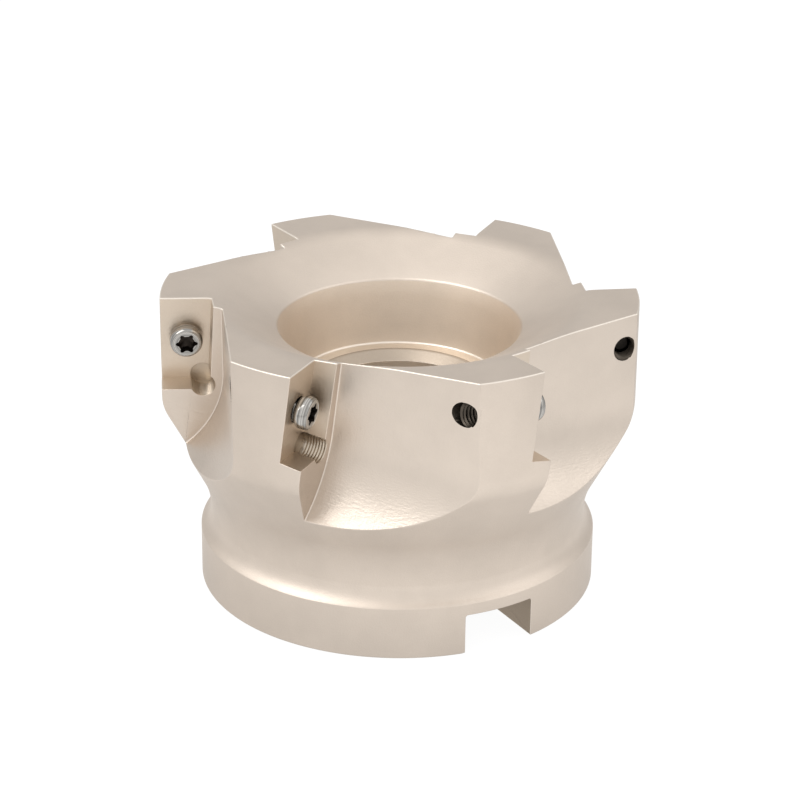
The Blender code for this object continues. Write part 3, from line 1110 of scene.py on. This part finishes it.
# painted shade: the bore's top chamfer and lip are darker, for the shade down the bore
boreShadeNickel = dict(nickel, color=(0.44, 0.37, 0.30), roughness=0.5)
cutNickel = dict(nickel, color=(0.66, 0.565, 0.465), roughness=0.4)
# painted shade: the relief holes are darker, for the shade inside them
reliefShadeNickel = dict(nickel, color=(0.56, 0.48, 0.39), roughness=0.36)
# painted shade: the tapped holes are near-black, for the shade inside them
holeShadeNickel = dict(nickel, color=(0.10, 0.084, 0.068), roughness=0.4)
# painted highlight: the front rounded edges and the slot chamfers are lighter, for the highlight along
# them
edgeHighlightNickel = dict(nickel, color=(0.78, 0.71, 0.63), roughness=0.45, patchAndSheenLow=0.97)
# the plated screw heads: their tint runs in rings from light to dark, painted reflections standing in
# for the plating's contrast
plated = dict(nickel, color=(0.52, 0.50, 0.47), roughness=0.18, patchAndSheenLow=0.42)
plated.update(spread=0.03, grainDepth=0.003, ringScale=2600)
# painted shade: the inside of the socket is near-black
socketShade = dict(nickel, color=(0.055, 0.045, 0.038), roughness=0.5, patchAndSheenLow=0.7)
# painted shade: the shank is near-black, for the shade in the tapped hole
shankShade = dict(nickel, color=(0.035, 0.03, 0.026), roughness=0.45)

finishes = {
    "turned": (turnedNickel, turningMarks),
    "bored": (counterboreLitNickel, turningMarks),
    "seat": (seatLitNickel, turningMarks),
    "bore": (boreShadeNickel, turningMarks),
    "slot": (slotShadeNickel, grindingMarks),
    "gullet": (nickel, millingMarks),
    "pocket": (cutNickel, grindingMarks),
    "relief": (reliefShadeNickel, None),
    "hole": (holeShadeNickel, None),
    "edge": (edgeHighlightNickel, None),
    "plated": (plated, None),
    "socket": (socketShade, None),
    "shank": (shankShade, None),
}
for look, (metal, marks) in finishes.items():
    metalFinish(bpy.data.materials[look], metal, marks)

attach(body, "root")
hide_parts("cutter_body")
for n, piece in enumerate(screws):
    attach(piece, "root")
    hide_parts(f"insert_screw_{n + 1}")


# Camera at the photograph's view

shot = {
    "lens": 128.2,
    "distance": 474.61,
    "elevation": 23.763,
    "turn": -30.5,
    "roll": 0.621,
    "target": (0.237, 0.0, 30.853),
}


def placeCamera(c):
    # stands off from the target by the distance, looks down by the elevation, then turns round Z
    clearSelection()
    bpy.ops.object.camera_add()
    camera = bpy.context.object
    camera.name = "photoCamera"
    camera.data.sensor_width = 36
    camera.data.lens = c["lens"]
    tilt = math.radians(c["elevation"])
    ahead = Vector((0, math.cos(tilt), -math.sin(tilt)))
    side = Vector((1, 0, 0))
    upward = side.cross(ahead)
    roll = math.radians(c["roll"])
    right = side * math.cos(roll) + upward * math.sin(roll)
    top = -side * math.sin(roll) + upward * math.cos(roll)
    eye = Vector(c["target"]) - ahead * c["distance"]
    place = Matrix((
        (right.x, top.x, -ahead.x, eye.x * mm),
        (right.y, top.y, -ahead.y, eye.y * mm),
        (right.z, top.z, -ahead.z, eye.z * mm),
        (0, 0, 0, 1),
    ))
    camera.matrix_world = Matrix.Rotation(math.radians(c["turn"]), 4, "Z") @ place
    camera.data.clip_start, camera.data.clip_end = 0.01, 20
    bpy.context.scene.camera = camera


placeCamera(shot)
heading = math.radians(-shot["turn"])
beyond = Vector((math.sin(heading), math.cos(heading), 0))
across = beyond.cross(Vector((0, 0, 1)))


def fromView(forward, right, up):
    # a place in metres: beyond the object, to the camera's right, and up
    return beyond * forward + across * right + Vector((0, 0, up))


# White floor, room light and softboxes

studio = {
    "floorSize": 6.0,
    "floorShare": 0.9,
    "floorSeen": 1.06,
    "floorGlow": 0.8,
    "frontGlow": 0.56,
    "frontPlace": (-0.12, 0.035, 0),
    "frontRange": (0.03, 0.24),
    "nearDim": 0.74,
    "nearRange": (0.038, 0.062),
    "skyBehind": 0.67,
    "skyFront": 1.12,
    "skyToward": (-0.707, 0, 0.707),
    "skyBlend": 0.3,
    "boxes": {
        "boxLeft": {"at": (-0.2, -0.5, 0.7), "size": (0.55, 0.65), "level": 2.6},
        "boxRight": {"at": (-0.1, 0.62, 0.55), "size": (0.6, 0.6), "level": 0.5},
    },
}


def floorLook(st):
    # the camera sees plain white with a faint contact shade; reflections see a dim patch under
    # the object and a glow in front of it
    look = bpy.data.materials.new("studioFloor")
    look.use_nodes = True
    tree = look.node_tree
    tree.nodes.clear()
    out = addNode(tree, "ShaderNodeOutputMaterial")
    matte = setInputs(addNode(tree, "ShaderNodeBsdfDiffuse"), Color=(0.9, 0.9, 0.9, 1))
    glow = setInputs(addNode(tree, "ShaderNodeEmission"), Color=(1, 1, 1, 1))
    path = addNode(tree, "ShaderNodeLightPath")
    place = addNode(tree, "ShaderNodeTexCoord").outputs["Object"]
    away = addNode(tree, "ShaderNodeVectorMath", operation="DISTANCE")
    tree.links.new(place, away.inputs[0])
    away.inputs[1].default_value = fromView(*st["frontPlace"])
    front = rangeNode(tree, away.outputs["Value"], *st["frontRange"], st["frontGlow"], 0.0)
    fromAxis = addNode(tree, "ShaderNodeVectorMath", operation="LENGTH")
    tree.links.new(place, fromAxis.inputs[0])
    near = rangeNode(tree, fromAxis.outputs["Value"], *st["nearRange"], st["nearDim"], 1.0)
    reflected = times(tree, mathNode(tree, "ADD", front, st["floorGlow"]), near)
    level = addNode(tree, "ShaderNodeMix")
    tree.links.new(path.outputs["Is Camera Ray"], level.inputs[0])
    tree.links.new(reflected, level.inputs[2])
    level.inputs[3].default_value = st["floorSeen"]
    tree.links.new(level.outputs[0], glow.inputs["Strength"])
    seen = mathNode(tree, "MAXIMUM", path.outputs["Is Camera Ray"], path.outputs["Is Glossy Ray"])
    mix = addNode(tree, "ShaderNodeMixShader")
    tree.links.new(times(tree, seen, st["floorShare"]), mix.inputs[0])
    tree.links.new(matte.outputs[0], mix.inputs[1])
    tree.links.new(glow.outputs[0], mix.inputs[2])
    tree.links.new(mix.outputs[0], out.inputs["Surface"])
    return look


def roomLight(st):
    # a sky that is brighter above the camera than behind the object, and plain white to the camera
    world = bpy.data.worlds.new("studio")
    bpy.context.scene.world = world
    world.use_nodes = True
    tree = world.node_tree
    tree.nodes.clear()
    out = addNode(tree, "ShaderNodeOutputWorld")
    direction = addNode(tree, "ShaderNodeTexCoord").outputs["Generated"]
    facing = addNode(tree, "ShaderNodeVectorMath", operation="DOT_PRODUCT")
    tree.links.new(direction, facing.inputs[0])
    facing.inputs[1].default_value = fromView(*st["skyToward"])
    sky = setInputs(addNode(tree, "ShaderNodeBackground"), Color=(1, 1, 1, 1))
    blend = st["skyBlend"]
    level = rangeNode(tree, facing.outputs["Value"], -blend, blend, st["skyBehind"], st["skyFront"])
    tree.links.new(level, sky.inputs["Strength"])
    plain = setInputs(addNode(tree, "ShaderNodeBackground"), Color=(1, 1, 1, 1), Strength=1.0)
    path = addNode(tree, "ShaderNodeLightPath")
    mix = addNode(tree, "ShaderNodeMixShader")
    tree.links.new(path.outputs["Is Camera Ray"], mix.inputs[0])
    tree.links.new(sky.outputs[0], mix.inputs[1])
    tree.links.new(plain.outputs[0], mix.inputs[2])
    tree.links.new(mix.outputs[0], out.inputs["Surface"])


def softbox(name, b):
    # a rectangle lamp turned to the object, whose face glows at the given level
    target = Vector((0, 0, 0.03))
    clearSelection()
    place = fromView(*b["at"])
    bpy.ops.object.light_add(type="AREA", location=place)
    lamp = bpy.context.object
    lamp.name = name
    lamp.data.shape = "RECTANGLE"
    lamp.data.size, lamp.data.size_y = b["size"]
    lamp.data.energy = b["level"] * math.pi * b["size"][0] * b["size"][1]
    lamp.rotation_euler = (target - place).to_track_quat("-Z", "Y").to_euler()


clearSelection()
bpy.ops.mesh.primitive_plane_add(size=studio["floorSize"], location=(0, 0, 0))
floor = nameNew("studioFloor")
floor.data.materials.append(floorLook(studio))
roomLight(studio)
for name, box in studio["boxes"].items():
    softbox(name, box)

view = bpy.context.scene.view_settings
view.view_transform = "Standard"
